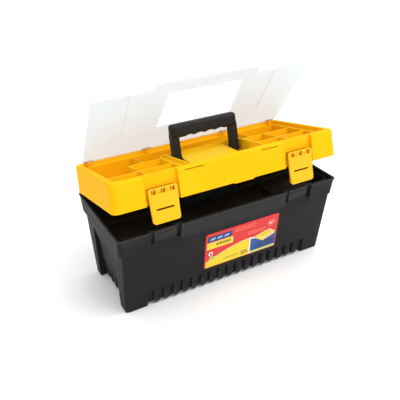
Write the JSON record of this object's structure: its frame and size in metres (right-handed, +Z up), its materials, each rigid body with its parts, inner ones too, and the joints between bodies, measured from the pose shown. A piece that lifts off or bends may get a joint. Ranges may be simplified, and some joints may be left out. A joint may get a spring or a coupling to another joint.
{
  "type": "toolbox with tray",
  "caption": "Plastic toolbox with a lift-out tray, an organiser lid with bins, a clear hinged cover, a folding carry handle and two front latches.",
  "frame": {"origin": "centre of the tub's underside, on the surface it stands on", "axes": "+X along the box to its right-hand end seen from the front, +Y towards the lid's hinge, +Z up"},
  "size_m": [0.501, 0.24, 0.4259],
  "materials": {
    "black_plastic": "fine satin grain",
    "inner_black_plastic": "satin",
    "handle_plastic": "satin with light scuffs",
    "yellow_plastic": "semi-gloss",
    "yellow_inner_plastic": "semi-gloss",
    "latch_plastic": "semi-gloss",
    "clear_plastic": "clear, slightly milky",
    "label_print": "printed film",
    "pin_steel": "plain"
  },
  "bodies": {
    "tub": {"tub_shell": "black_plastic", "label": "label_print", "lid_hinge_rods": "pin_steel"},
    "tray": {"tray_shell": "inner_black_plastic", "tray_long_divider": "inner_black_plastic", "tray_cross_dividers": "inner_black_plastic", "tray_grip_bar": "inner_black_plastic"},
    "lid": {"lid_shell": "yellow_plastic", "bin_long_dividers_left": "yellow_inner_plastic", "bin_long_dividers_right": "yellow_inner_plastic", "bin_cross_dividers_left": "yellow_inner_plastic", "bin_cross_dividers_right": "yellow_inner_plastic", "handle_trough": "yellow_inner_plastic", "handle_pins": "pin_steel", "latch_pins": "pin_steel", "cover_pins": "pin_steel"},
    "handle": {"carry_handle": "handle_plastic"},
    "latch_l": {"latch_left": "latch_plastic"},
    "latch_r": {"latch_right": "latch_plastic"},
    "cover": {"clear_cover": "clear_plastic"}
  },
  "joints": [
    {"name": "lid_hinge", "type": "hinge", "parent": "tub", "child": "lid", "pos_m": [0, 0.1106, 0.193], "axis": [-1, 0, 0], "range_deg": [-13.5, 86.5]},
    {"name": "cover_hinge", "type": "hinge", "parent": "lid", "child": "cover", "pos_m": [0, 0.10463, 0.25038], "axis": [-1, 0, 0], "range_deg": [-43.9, 66.1]},
    {"name": "handle_pivot", "type": "hinge", "parent": "lid", "child": "handle", "pos_m": [0, 0.01146, 0.25382], "axis": [1, 0, 0], "range_deg": [0, 76]},
    {"name": "latch_left_hinge", "type": "hinge", "parent": "lid", "child": "latch_l", "pos_m": [-0.153, -0.09743, 0.26505], "axis": [-1, 0, 0], "range_deg": [0, 85]},
    {"name": "latch_right_hinge", "type": "hinge", "parent": "lid", "child": "latch_r", "pos_m": [0.153, -0.09743, 0.26505], "axis": [-1, 0, 0], "range_deg": [0, 85]},
    {"name": "tray_lift", "type": "slide", "parent": "tub", "child": "tray", "axis": [0, 0, 1], "range_m": [0, 0.009]}
  ]
}
